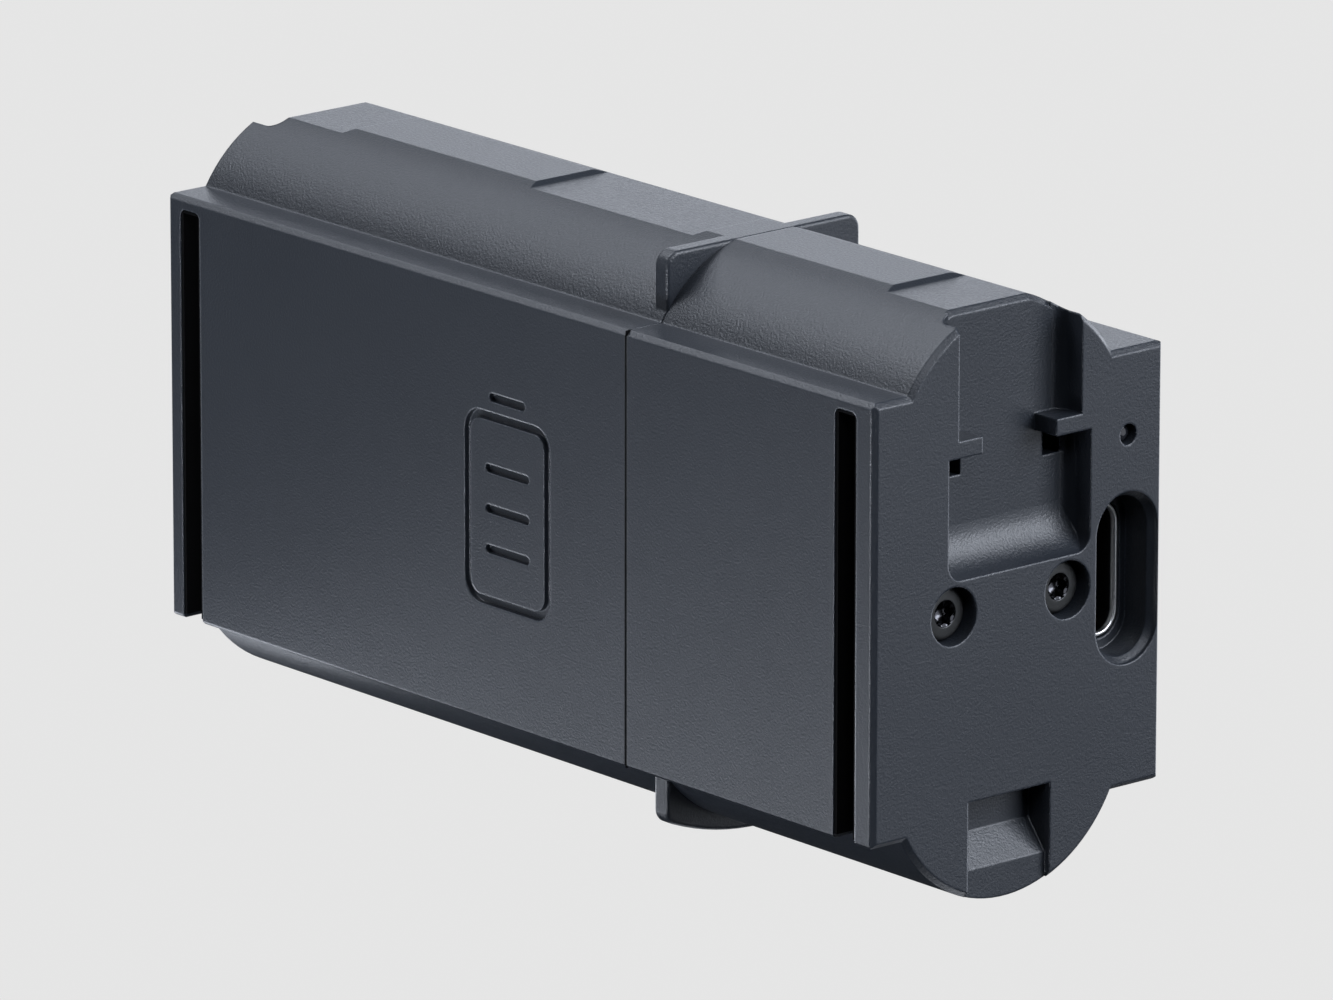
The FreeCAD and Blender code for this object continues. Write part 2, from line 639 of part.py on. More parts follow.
def carrier_plate(name, pocket_x, stop_x):
    """An end plate with a pocket for each cell and a hole to weld its strip through."""
    low = min(pocket_x[0], stop_x[0], key=lambda place_x: place_x.number)
    high = max(pocket_x[1], stop_x[1], key=lambda place_x: place_x.number)
    gap = s.carrier_clear
    slab = box(name + "_slab", (low, high), (inner_front + gap, inner_rear - gap),
               (-inner_top + gap, inner_top - gap))
    discs = [rod("%s_disc_%s" % (name, side), stop_x, s.cell_depth, axis, s.disc_radius)
             for side, axis in axes.items()]
    tools = []
    for side, axis in axes.items():
        tools.append(rod("%s_pocket_%s" % (name, side), pocket_x, s.cell_depth, axis, s.pocket_radius))
        tools.append(rod("%s_access_%s" % (name, side), (low - PAST, high + PAST), s.cell_depth, axis,
                         s.access_radius))
    return cut(name, fuse(name + "_blank", [slab] + discs), tools)


def cell_carrier():
    left = carrier_plate("left_plate", (-s.can_floor, -s.can_floor + s.pocket_depth),
                         (left_stop, -s.can_floor))
    stop_start = right_stop - s.stop_thick
    right = carrier_plate("right_plate", (stop_start - s.pocket_depth, stop_start),
                          (stop_start, right_stop))
    pieces = [left, right]
    bores = []
    middle = (axes["upper"] + axes["lower"]) / 2
    for side, y in (("near", s.screw_near), ("far", s.screw_far)):
        pieces.append(rod(side + "_rail", (left_stop, right_stop), y, middle, s.rail_radius))
        pieces.append(rod(side + "_post", (right_stop - s.stop_thick, deep_right), y, -s.screw_z,
                          s.post_radius))
        bores.append(rod(side + "_pilot", (screw_seat() - s.shank_length - PAST / 2, deep_right + PAST),
                         y, -s.screw_z, s.shank_radius + s.post_clear))
    for side in (-1, 1):
        edges = sorted((s.ledge_inset * side, (s.ledge_inset + s.ledge_width) * side),
                       key=lambda edge: edge.number)
        pieces.append(box("ledge_%d" % side, (right_stop - s.stop_thick, s.ledge_end),
                          (s.board_face - s.ledge_height, s.board_face), edges))
    slack = s.sleeve_wall / 2
    bores.append(box("lead_passage", (left_stop - PAST, right_stop + PAST),
                     (s.board_face - s.strip_thick - slack, s.board_face + slack),
                     (-s.lead_near - slack, s.lead_far + slack)))
    bores.append(box("wire_passage", (0, right_stop + PAST),
                     (s.bead_y - slack, board_rear + s.wire_radius * 3),
                     (s.bead_z - s.wire_gap, s.bead_z + s.wire_gap)))
    return node("cell_carrier", cut("cell_carrier", fuse("carrier_blank", pieces), bores))


# ---- strips and insulation

def weld_discs(name, x):
    return [rod("%s_weld_%s" % (name, side), x, s.cell_depth, axis, s.weld_radius)
            for side, axis in axes.items()]


def negative_strip():
    x = (left_stop - s.strip_thick, left_stop)
    across = (s.strip_near, s.strip_far)
    web = box("negative_web", x, across, (-s.strip_reach, s.strip_reach))
    tab = box("negative_tab", x, (s.strip_far, s.board_face), (-s.lead_near, s.lead_far))
    welds = weld_discs("negative", (left_stop, -s.can_floor))
    return node("negative_strip", fuse("negative_strip", [web, tab] + welds))


def positive_strip():
    x = (right_stop, right_stop + s.strip_thick)
    across = (s.strip_near, s.strip_far)
    web = box("positive_web", x, across, (-s.strip_reach, s.strip_reach))
    face = s.board_face
    tab = box("positive_tab", x, (s.strip_far, face), (s.tab_low, s.tab_high))
    foot = box("positive_foot", (right_stop, s.foot_end), (face - s.strip_thick, face),
               (s.tab_low, s.tab_high))
    welds = weld_discs("positive", (s.cap_top, right_stop))
    return node("positive_strip", fuse("positive_strip", [web, tab, foot] + welds))


def return_strip():
    face = s.board_face
    return node("return_strip", box("return_strip", (left_stop, s.foot_end),
                                    (face - s.strip_thick, face), (-s.lead_near, s.lead_far)))


def return_sleeve():
    """A flat insulating tube around the return strip, between the two carrier plates."""
    x = (left_stop + s.stop_thick + s.pocket_depth + s.sleeve_wall,
         right_stop - s.stop_thick - s.pocket_depth - s.sleeve_wall)
    slack = s.post_clear
    grow = s.sleeve_wall + slack
    y = (s.board_face - s.strip_thick, s.board_face)
    z = (-s.lead_near, s.lead_far)
    outer = box("sleeve_outer", x, (y[0] - grow, y[1] + grow), (z[0] - grow, z[1] + grow))
    inner = box("sleeve_inner", (x[0] - PAST, x[1] + PAST), (y[0] - slack, y[1] + slack),
                (z[0] - slack, z[1] + slack))
    return node("return_sleeve", cut("return_sleeve", outer, [inner]))


def insulating_paper():
    start = right_stop + s.strip_thick
    sheet_of_paper = box("paper_raw", (start, start + s.paper_thick), (s.paper_near, s.paper_far),
                         (-s.paper_reach, s.paper_reach))
    holes = [rod(side + "_paper_hole", (start - PAST, start + PAST), y, -s.screw_z,
                 s.post_radius + s.shank_clear)
             for side, y in (("near", s.screw_near), ("far", s.screw_far))]
    return node("insulating_paper", cut("insulating_paper", sheet_of_paper, holes))


def end_foam_pad():
    return node("end_foam_pad", box("end_foam_pad", (-deep_right, left_stop - s.strip_thick),
                                    (s.foam_near, s.foam_far), (-s.foam_reach, s.foam_reach)))


# ---- circuit board and what is on it

def circuit_board():
    raw = box("board_raw", (s.board_start, s.board_end), (s.board_face, board_rear),
              (-s.board_reach, s.board_reach))
    return node("circuit_board", soften("Fillet", "circuit_board", raw, s.board_corner,
                                        lambda p, d: same(abs(d.y), 1)))


def on_rear(name, x, z, height):
    """A chip on the rear face of the board."""
    return box(name, x, (board_rear, board_rear + height), z)


def on_front(name, x, z, height):
    """A chip on the front face of the board."""
    return box(name, x, (s.board_face - height, s.board_face), z)


def chips():
    """The larger parts of the charging and protection circuit, and two rows of small ones."""
    node("charge_controller", on_rear("charge_controller", (21.0, 25.0), (5.2, 9.2), 0.8))
    node("protection_chip", on_front("protection_chip", (28.4, 30.0), (4.8, 7.7), 0.9))
    node("board_fuse", on_front("board_fuse", (23.0, 26.2), (9.0, 10.6), 0.6))
    node("power_mosfets", group("power_mosfets", [
        on_front("upper_mosfet", (24.6, 27.6), (4.5, 7.5), 0.8),
        on_front("lower_mosfet", (24.6, 27.6), (-8.0, -5.0), 0.8)]))
    capacitors = [on_rear("capacitor_%d" % place_x, (21.4 + 2.0 * place_x, 22.2 + 2.0 * place_x),
                          (10.2, 11.8), 0.8) for place_x in range(4)]
    node("chip_capacitors", group("chip_capacitors", capacitors))
    resistors = [on_front("resistor_%d" % place_x, (23.6 + 1.1 * place_x, 24.1 + 1.1 * place_x),
                          (-10.6, -9.6), 0.35) for place_x in range(6)]
    node("chip_resistors", group("chip_resistors", resistors))


def inductor():
    raw = on_rear("inductor_raw", (25.8, 28.8), (5.2, 8.2), 1.8)
    return node("inductor", soften("Fillet", "inductor", raw, dim(0.7), lambda p, d: same(abs(d.y), 1)))


def usb_port():
    """The receptacle: a drawn steel shell, a moulded tongue and its contact pins."""
    y, z = s.light_y, -s.port_z
    x = (s.port_back, s.port_mouth)
    skin = s.port_skin * 2
    outer = obround("port_outer", x, y, z, s.port_thick, s.port_width)
    inner = obround("port_inner", (x[0] - PAST, x[1] + PAST), y, z, s.port_thick - skin,
                    s.port_width - skin)
    node("usb_shell", cut("usb_shell", outer, [inner]))

    base = obround("port_base", (s.port_back, s.port_base), y, z, s.port_thick - skin,
                   s.port_width - skin)
    half = s.blade_thick / 2
    blade = box("port_blade", (s.port_base, s.tongue_tip), (y - half, y + half),
                (z - s.blade_width / 2, z + s.blade_width / 2))
    node("usb_tongue", fuse("usb_tongue", [base, blade]))

    pins = []
    for number in range(SIZES["pin_count"]):
        offset = s.pin_pitch * (number - (SIZES["pin_count"] - 1) / 2) + z
        across = (offset - s.pin_width / 2, offset + s.pin_width / 2)
        along = (s.port_base, s.port_base + s.pin_length)
        pins.append(box("front_pin_%d" % number, along, (y - half - s.pin_thick, y - half), across))
        pins.append(box("rear_pin_%d" % number, along, (y + half, y + half + s.pin_thick), across))
    node("usb_pins", group("usb_pins", pins))


def status_light():
    """The lamp on the board and the clear pipe that brings its light to the end face."""
    node("status_led", on_rear("status_led", (29.9, deep_right - 0.9), (8.06, 9.66), 1.5))
    collar_end = deep_right - s.post_clear
    collar = rod("pipe_collar", (collar_end - s.collar_thick, collar_end), s.light_y, s.light_z,
                 s.collar_radius)
    stem = rod("pipe_stem", (collar_end - s.collar_thick, half_length - s.pipe_sink), s.light_y,
               s.light_z, s.pipe_radius)
    tip = half_length - s.pipe_sink
    stem = soften("Fillet", "pipe_stem_domed", stem, s.pipe_dome,
                  lambda p, d: same(p.x, tip.number) and same(d.x, 0))
    node("light_pipe", fuse("light_pipe", [collar, stem]))


def output_contacts():
    """A moulded block behind the rear window, with four flat contacts set into it."""
    face = s.plate_depth - s.block_sink
    middle = -(s.block_low + s.block_high) / 2
    contacts = []
    for number in range(4):
        x = s.blade_x + s.blade_pitch * number
        pad = box("contact_pad_%d" % number, (x - s.blade_half, x + s.blade_half),
                  (face - s.blade_face + s.blade_proud, face + s.blade_proud),
                  (middle - s.blade_reach, middle + s.blade_reach))
        stem = box("contact_stem_%d" % number, (x - s.stem_half, x + s.stem_half),
                   (board_rear, face + s.blade_proud), (middle - s.stem_reach, middle + s.stem_reach))
        contacts.append(fuse("contact_%d" % number, [pad, stem]))
    blank = box("block_raw", (s.block_start, s.block_end), (board_rear, face),
                (-s.block_low, -s.block_high))
    node("contact_block", cut("contact_block", blank, contacts))
    node("output_contacts", group("output_contacts", contacts))


def thermistor():
    node("thermistor", rod("thermistor", (s.bead_start, s.bead_end), s.bead_y, s.bead_z, s.bead_radius))
    wires = [rod("wire_%d" % side, (s.bead_end, s.wire_end), board_rear + s.wire_radius,
                 s.bead_z + s.wire_gap / 2 * side, s.wire_radius) for side in (-1, 1)]
    node("thermistor_wires", group("thermistor_wires", wires))


# ---- build every sub-part

shell_shape = envelope()
left_slot_tool = slot_tool("left_slot_tool", -s.left_slot)
right_slot_tool = slot_tool("right_slot_tool", s.right_slot)
left_housing(shell_shape, left_slot_tool)
right_housing(shell_shape, right_slot_tool)
slot_liner("left_slot_liner", left_slot_tool, -s.left_slot)
slot_liner("right_slot_liner", right_slot_tool, s.right_slot)
end_screws()
for cell_side, cell_axis in axes.items():
    cell(cell_side, cell_axis)
cell_carrier()
negative_strip()
positive_strip()
return_strip()
return_sleeve()
insulating_paper()
end_foam_pad()
circuit_board()
chips()
inductor()
usb_port()
status_light()
output_contacts()
thermistor()
doc.recompute()

# ---- check and write

for item in doc.Objects:
    if "Invalid" in item.State or "Error" in item.State:
        raise RuntimeError("failed object: %s %s" % (item.Label, item.State))
os.makedirs("parts", exist_ok=True)
for item in nodes:
    if item.Shape.isNull() or not item.Shape.isValid() or not item.Shape.Solids:
        raise RuntimeError("bad shape: " + item.Label)
for item in nodes:
    item.Shape.exportStep("parts/%s.step" % item.Label)
print("%d sub-parts written" % len(nodes))
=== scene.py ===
import json
import math

import bmesh
import bpy
from mathutils import Matrix, Vector


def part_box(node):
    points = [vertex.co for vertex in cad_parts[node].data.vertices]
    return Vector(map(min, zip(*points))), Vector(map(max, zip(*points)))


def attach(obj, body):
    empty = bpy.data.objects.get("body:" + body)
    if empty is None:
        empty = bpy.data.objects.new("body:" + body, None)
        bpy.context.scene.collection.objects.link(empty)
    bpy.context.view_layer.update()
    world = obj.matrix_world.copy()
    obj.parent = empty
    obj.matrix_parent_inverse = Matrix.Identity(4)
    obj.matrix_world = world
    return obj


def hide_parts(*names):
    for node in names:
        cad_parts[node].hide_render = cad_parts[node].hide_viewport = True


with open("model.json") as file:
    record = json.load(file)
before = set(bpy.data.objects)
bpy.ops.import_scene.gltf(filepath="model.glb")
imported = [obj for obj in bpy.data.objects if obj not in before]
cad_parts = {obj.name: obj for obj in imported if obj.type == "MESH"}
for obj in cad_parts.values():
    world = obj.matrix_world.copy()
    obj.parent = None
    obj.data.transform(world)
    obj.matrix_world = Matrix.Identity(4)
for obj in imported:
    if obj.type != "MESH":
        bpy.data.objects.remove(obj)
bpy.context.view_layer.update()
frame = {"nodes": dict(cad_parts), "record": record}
NODES = frame["nodes"]

MM = 0.001

# ---- what several sections share, in millimetres

HEAD_RADIUS = 1.75
SEAM = (11.45, 11.57)


def centre(node):
    """A node's middle, low and high corners in millimetres."""
    low, high = ([value / MM for value in corner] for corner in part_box(node))
    return [(a + b) / 2 for a, b in zip(low, high)], low, high


# ---- camera: a long lens from the front right, slightly above

AZIMUTH = math.radians(49.47)
ELEVATION = math.radians(15.58)
ROLL = math.radians(0.064)
CAMERA_PLACE = Vector((623.7, -520.0, 227.3)) * MM
LENS = 353.2


def view_axes():
    """The camera's right, up and backward directions."""
    back = Vector((math.sin(AZIMUTH) * math.cos(ELEVATION), -math.cos(AZIMUTH) * math.cos(ELEVATION),
                   math.sin(ELEVATION)))
    right = Vector((math.cos(AZIMUTH), math.sin(AZIMUTH), 0))
    up = back.cross(right)
    turned_right = math.cos(ROLL) * right + math.sin(ROLL) * up
    turned_up = math.cos(ROLL) * up - math.sin(ROLL) * right
    return turned_right, turned_up, back


def add_camera():
    data = bpy.data.cameras.new("camera")
    data.lens = LENS
    data.sensor_width = 36
    data.clip_start = 0.01
    data.clip_end = 100
    camera = bpy.data.objects.new("camera", data)
    bpy.context.scene.collection.objects.link(camera)
    matrix = Matrix.Identity(4)
    for column, axis in enumerate(view_axes()):
        matrix.col[column][:3] = axis
    matrix.translation = CAMERA_PLACE
    camera.matrix_world = matrix
    bpy.context.scene.camera = camera


add_camera()

# ---- materials


class Shader:
    """A small helper that builds one node material around a Principled shader."""

    def __init__(self, name, color, roughness, **fixed):
        self.material = bpy.data.materials.new(name)
        self.material.use_nodes = True
        self.tree = self.material.node_tree
        self.bsdf = self.tree.nodes["Principled BSDF"]
        self.bsdf.inputs["Base Color"].default_value = (*color, 1)
        self.bsdf.inputs["Roughness"].default_value = roughness
        for socket, amount in fixed.items():
            self.bsdf.inputs[socket.replace("_", " ")].default_value = amount
        self.place = self.add("ShaderNodeTexCoord").outputs["Object"]

    def add(self, kind, **settings):
        item = self.tree.nodes.new(kind)
        for key, amount in settings.items():
            setattr(item, key, amount)
        return item

    def link(self, output, target):
        self.tree.links.new(output, target)

    def noise(self, scale, detail=2.0, roughness=0.5, place=None):
        """A noise value; scale is in features per metre."""
        item = self.add("ShaderNodeTexNoise")
        item.inputs["Scale"].default_value = scale
        item.inputs["Detail"].default_value = detail
        item.inputs["Roughness"].default_value = roughness
        self.link(place or self.place, item.inputs["Vector"])
        return item.outputs["Fac"]

    def stretched(self, factors):
        """The object's own coordinates, scaled per axis."""
        item = self.add("ShaderNodeMapping")
        item.inputs["Scale"].default_value = factors
        self.link(self.place, item.inputs["Vector"])
        return item.outputs["Vector"]

    def ramp(self, value, low, high, start, end):
        """Map a value's span low..high onto start..end."""
        item = self.add("ShaderNodeMapRange")
        for socket, amount in zip(("From Min", "From Max", "To Min", "To Max"), (low, high, start, end)):
            item.inputs[socket].default_value = amount
        self.link(value, item.inputs["Value"])
        return item.outputs["Result"]

    def math(self, operation, first, second):
        item = self.add("ShaderNodeMath", operation=operation)
        for socket, amount in zip(item.inputs, (first, second)):
            if isinstance(amount, (int, float)):
                socket.default_value = amount
            else:
                self.link(amount, socket)
        return item.outputs[0]

    def mix(self, factor, first, second):
        """Mix two colours, each a triple or an output."""
        item = self.add("ShaderNodeMix", data_type="RGBA")
        for index, amount in ((6, first), (7, second)):
            if isinstance(amount, tuple):
                item.inputs[index].default_value = (*amount, 1)
            else:
                self.link(amount, item.inputs[index])
        self.link(factor, item.inputs[0])
        return item.outputs[2]

    def axes(self):
        """The object's own X, Y and Z."""
        split = self.add("ShaderNodeSeparateXYZ")
        self.link(self.place, split.inputs[0])
        return split.outputs

    def color(self, output):
        self.link(output, self.bsdf.inputs["Base Color"])

    def roughness(self, output):
        self.link(output, self.bsdf.inputs["Roughness"])

    def corners(self, radius):
        """Round sharp corners for the light, by a radius in metres; returns how near a corner is, 0 to 1."""
        item = self.add("ShaderNodeBevel", samples=10)
        item.inputs["Radius"].default_value = radius
        self.link(item.outputs["Normal"], self.bsdf.inputs["Normal"])
        turn = self.add("ShaderNodeVectorMath", operation="DOT_PRODUCT")
        self.link(item.outputs["Normal"], turn.inputs[0])
        self.link(self.add("ShaderNodeNewGeometry").outputs["Normal"], turn.inputs[1])
        return self.ramp(turn.outputs["Value"], 0.995, 0.80, 0.0, 1.0)

    def bump(self, height, distance):
        """Chain a bump onto the shader's normal; distance is in metres."""
        item = self.add("ShaderNodeBump")
        item.inputs["Distance"].default_value = distance
        item.inputs["Strength"].default_value = 1.0
        self.link(height, item.inputs["Height"])
        target = self.bsdf.inputs["Normal"]
        if target.links:
            self.link(target.links[0].from_socket, item.inputs["Normal"])
        self.link(item.outputs["Normal"], target)


def scaled(color, factor):
    return tuple(channel * factor for channel in color)


def off_the_seam(shader):
    """0 on the edges of the seam where it crosses the flat front and rear faces, where the plastic gets
    painted shade, 1 elsewhere.
    """
    axes = shader.axes()
    low, high = centre("left_housing")[1:]
    middle, half_depth = (high[1] + low[1]) / 2, (high[1] - low[1]) / 2
    skin, fade = 0.25, 0.2
    aside = shader.math("ABSOLUTE", shader.math("SUBTRACT", axes["X"], sum(SEAM) / 2 * MM), 0)
    outward = shader.math("ABSOLUTE", shader.math("SUBTRACT", axes["Y"], middle * MM), 0)
    below = shader.ramp(outward, (half_depth - skin) * MM, (half_depth - skin - fade) * MM, 0.0, 1.0)
    return shader.math("MAXIMUM", shader.ramp(aside, 0.09 * MM, 0.17 * MM, 0.0, 1.0), below)


def moulded_plastic(name, color, lighter, roughness):
    """Fine grained plastic, cloudy in tone and gloss, painted lighter at its corners as a highlight and
    painted dark along the seam as shade.
    """
    grain, depth, corner = 6000.0, 0.03, 0.2
    shader = Shader(name, color, roughness)
    clear = off_the_seam(shader)
    near_corner = shader.math("MULTIPLY", shader.corners(corner * MM), clear)
    cloud = shader.noise(90, 3)
    speck = shader.noise(grain, 2, 0.6)
    tone = shader.mix(shader.ramp(cloud, 0.3, 0.7, 0.0, 1.0), color, lighter)
    # painted highlight: near the corners the colour is lightened to 2.2 times the lighter tone, standing for
    # light caught on the edges
    painted_edge_highlight = shader.mix(shader.math("MULTIPLY", near_corner, 0.7), tone, scaled(lighter, 2.2))
    # painted shade: along the seam's edges the colour drops to 0.15 of the plastic's own
    shader.color(shader.mix(clear, scaled(color, 0.15), painted_edge_highlight))
    grainy = shader.ramp(speck, 0.25, 0.75, roughness - 0.05, roughness + 0.07)
    gloss = shader.math("ADD", grainy, shader.ramp(clear, 0.0, 1.0, 0.5, 0.0))
    shader.roughness(shader.math("SUBTRACT", gloss, shader.math("MULTIPLY", near_corner, 0.10)))
    shader.bump(speck, depth * MM)
    return shader.material


def plain(name, color, roughness, metallic=0.0, scale=900.0, depth=0.004, along=(1, 1, 1), darker=0.85,
          gloss=0.5):
    """A surface whose tone, gloss and height vary a little; along stretches the pattern per axis."""
    shader = Shader(name, color, roughness, Metallic=metallic, Specular_IOR_Level=gloss)
    cloud = shader.noise(scale, 3, place=shader.stretched(along))
    spread = 0.06
    low, high = max(roughness - spread, 0.02), min(roughness + spread, 1.0)
    shader.roughness(shader.ramp(cloud, 0.3, 0.7, low, high))
    shader.color(shader.mix(shader.ramp(cloud, 0.3, 0.7, 0.0, 1.0), scaled(color, darker), color))
    shader.bump(cloud, depth * MM)
    return shader.material


def black_screw(name, head, socket):
    """Matte blackened heads with bare glossy sockets, told apart by the distance from each screw's axis."""
    middle, low, high = centre("end_screws")
    shader = Shader(name, head, 0.5, Metallic=0.4)
    axes = shader.axes()
    spread = (high[1] - low[1]) / 2 - HEAD_RADIUS
    offset = shader.math("ABSOLUTE", shader.math("SUBTRACT", axes["Y"], middle[1] * MM), 0)
    across = shader.math("SUBTRACT", offset, spread * MM)
    up = shader.math("SUBTRACT", axes["Z"], middle[2] * MM)
    square = shader.math("ADD", shader.math("MULTIPLY", across, across), shader.math("MULTIPLY", up, up))
    inside = shader.ramp(shader.math("SQRT", square, 0), 0.93 * MM, 0.87 * MM, 0.0, 1.0)
    grain = shader.noise(3000, 3)
    tone = shader.mix(shader.ramp(grain, 0.3, 0.7, 0.0, 1.0), scaled(head, 0.8), head)
    shader.color(shader.mix(inside, tone, socket))
    shader.link(shader.ramp(inside, 0.0, 1.0, 0.4, 1.0), shader.bsdf.inputs["Metallic"])
    matte = shader.ramp(grain, 0.3, 0.7, 0.44, 0.56)
    shader.roughness(shader.math("SUBTRACT", matte, shader.math("MULTIPLY", inside, 0.34)))
    shader.bump(grain, 0.003 * MM)
    return shader.material


def port_steel(name, lip, inside):
    """Bright drawn steel at the mouth whose colour is painted dark further inside, by the depth along X, as
    shade.
    """
    mouth = centre("usb_shell")[2][0]
    shader = Shader(name, lip, 0.2, Metallic=1.0)
    near = shader.ramp(shader.axes()["X"], (mouth - 0.42) * MM, (mouth - 0.24) * MM, 0.0, 1.0)
    grain = shader.noise(2500, 3)
    tone = shader.mix(shader.ramp(grain, 0.3, 0.7, 0.0, 1.0), scaled(lip, 0.85), lip)
    # painted shade: deeper than the mouth the steel's colour fades to the dark inside colour
    shader.color(shader.mix(near, inside, tone))
    shader.roughness(shader.ramp(grain, 0.3, 0.7, 0.28, 0.38))
    return shader.material


def circuit_laminate(name, mask, track):
    """Green solder mask over faint parallel tracks."""
    shader = Shader(name, mask, 0.3)
    wave = shader.add("ShaderNodeTexWave", bands_direction="Z")
    wave.inputs["Scale"].default_value = 420
    wave.inputs["Distortion"].default_value = 3.0
    shader.link(shader.place, wave.inputs["Vector"])
    line = shader.ramp(wave.outputs["Fac"], 0.55, 0.7, 0.0, 1.0)
    shader.color(shader.mix(line, mask, track))
    shader.roughness(shader.ramp(shader.noise(1500, 2), 0.3, 0.7, 0.22, 0.36))
    shader.bump(line, 0.02 * MM)
    return shader.material


MATERIALS = {
    "housing_plastic": moulded_plastic("housing_plastic", (0.0155, 0.0188, 0.0245),
                                       (0.0175, 0.0210, 0.0270), 0.37),
    # painted shade: a near-black, almost glossless liner that stands for the shade deep in the slots and, on
    # the seam strip, in the seam
    "liner_rubber": plain("liner_rubber", (0.004, 0.004, 0.0044), 0.9, gloss=0.05),
    "screw_black": black_screw("screw_black", (0.026, 0.027, 0.027), (0.06, 0.06, 0.065)),
    "carrier_plastic": moulded_plastic("carrier_plastic", (0.02, 0.021, 0.024), (0.024, 0.025, 0.028), 0.55),
    "can_steel": plain("can_steel", (0.60, 0.59, 0.56), 0.3, 1.0),
    "seal_plastic": plain("seal_plastic", (0.02, 0.02, 0.022), 0.5),
    "electrode_foil": plain("electrode_foil", (0.09, 0.09, 0.10), 0.6),
    "wrap_film": plain("wrap_film", (0.02, 0.12, 0.32), 0.25),
    "washer_paper": plain("washer_paper", (0.75, 0.75, 0.70), 0.85),
    "nickel_strip": plain("nickel_strip", (0.62, 0.60, 0.56), 0.35, 1.0),
    "insulating_film": plain("insulating_film", (0.55, 0.25, 0.03), 0.25),
    "insulating_paper": plain("insulating_paper", (0.05, 0.12, 0.07), 0.85, scale=2500, depth=0.01,
                              along=(1, 1, 0.15)),
    "foam": plain("foam", (0.03, 0.03, 0.033), 0.95, scale=2600, depth=0.08, darker=0.5),
    "board_laminate": circuit_laminate("board_laminate", (0.008, 0.08, 0.035), (0.02, 0.14, 0.06)),
    "chip_black": plain("chip_black", (0.018, 0.018, 0.02), 0.55),
    "fuse_ceramic": plain("fuse_ceramic", (0.70, 0.68, 0.60), 0.6),
    "capacitor_ceramic": plain("capacitor_ceramic", (0.35, 0.22, 0.12), 0.5),
    "inductor_ferrite": plain("inductor_ferrite", (0.06, 0.06, 0.065), 0.7),
    # painted shade: the second colour is the steel's colour deep inside the shell, darkened to stand for
    # shade
    "shell_steel": port_steel("shell_steel", (0.88, 0.88, 0.87), (0.02, 0.02, 0.022)),
    "tongue_plastic": plain("tongue_plastic", (0.14, 0.14, 0.14), 0.35),
    "gold_contact": plain("gold_contact", (0.90, 0.62, 0.22), 0.22, 1.0, scale=4000, depth=0.001,
                          along=(1, 1, 0.1)),
    "led_plastic": plain("led_plastic", (0.80, 0.80, 0.66), 0.2),
    "light_pipe_plastic": plain("light_pipe_plastic", (0.012, 0.013, 0.016), 0.12),
    "bead_epoxy": plain("bead_epoxy", (0.02, 0.02, 0.02), 0.25),
    "wire_insulation": plain("wire_insulation", (0.02, 0.02, 0.02), 0.4),
}

for entry in frame["record"]["subparts"]:
    mesh = NODES[entry["node"]].data
    mesh.materials.clear()
    mesh.materials.append(MATERIALS[entry["material_slot"]])

# ---- pieces made here, in millimetres until they become meshes: two stand for plain CAD nodes, one is new


def ring_mesh(name, rings, loop=False):
    """A smooth quad mesh over rings of points; its ends are closed unless the rings loop."""
    shape = bmesh.new()
    rows = [[shape.verts.new(Vector(point) * MM) for point in ring] for ring in rings]
    pairs = list(zip(rows, rows[1:]))
    if loop:
        pairs.append((rows[-1], rows[0]))
    for first, second in pairs:
        for index in range(len(first)):
            after = (index + 1) % len(first)
            shape.faces.new((first[index], first[after], second[after], second[index]))
    if not loop:
        shape.faces.new(rows[0])
        shape.faces.new(rows[-1])
    bmesh.ops.recalc_face_normals(shape, faces=shape.faces)
    for face in shape.faces:
        face.smooth = True
    mesh = bpy.data.meshes.new(name)
    shape.to_mesh(mesh)
    shape.free()
    return mesh


def add_piece(name, meshes, slot, node=None):
    """Join the meshes into one piece, which stands for a CAD node if one is named."""
    shape = bmesh.new()
    for mesh in meshes:
        shape.from_mesh(mesh)
    joined = bpy.data.meshes.new(name)
    shape.to_mesh(joined)
    shape.free()
    joined.materials.append(MATERIALS[slot])
    piece = bpy.data.objects.new(name, joined)
    bpy.context.scene.collection.objects.link(piece)
    edges = piece.modifiers.new("edges", "EDGE_SPLIT")
    edges.split_angle = math.radians(50)
    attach(piece, "root")
    if node:
        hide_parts(node)


SCREW_SEGMENTS = 72
SCREW_PITCH = 0.4
HEAD_HEIGHT = 1.3


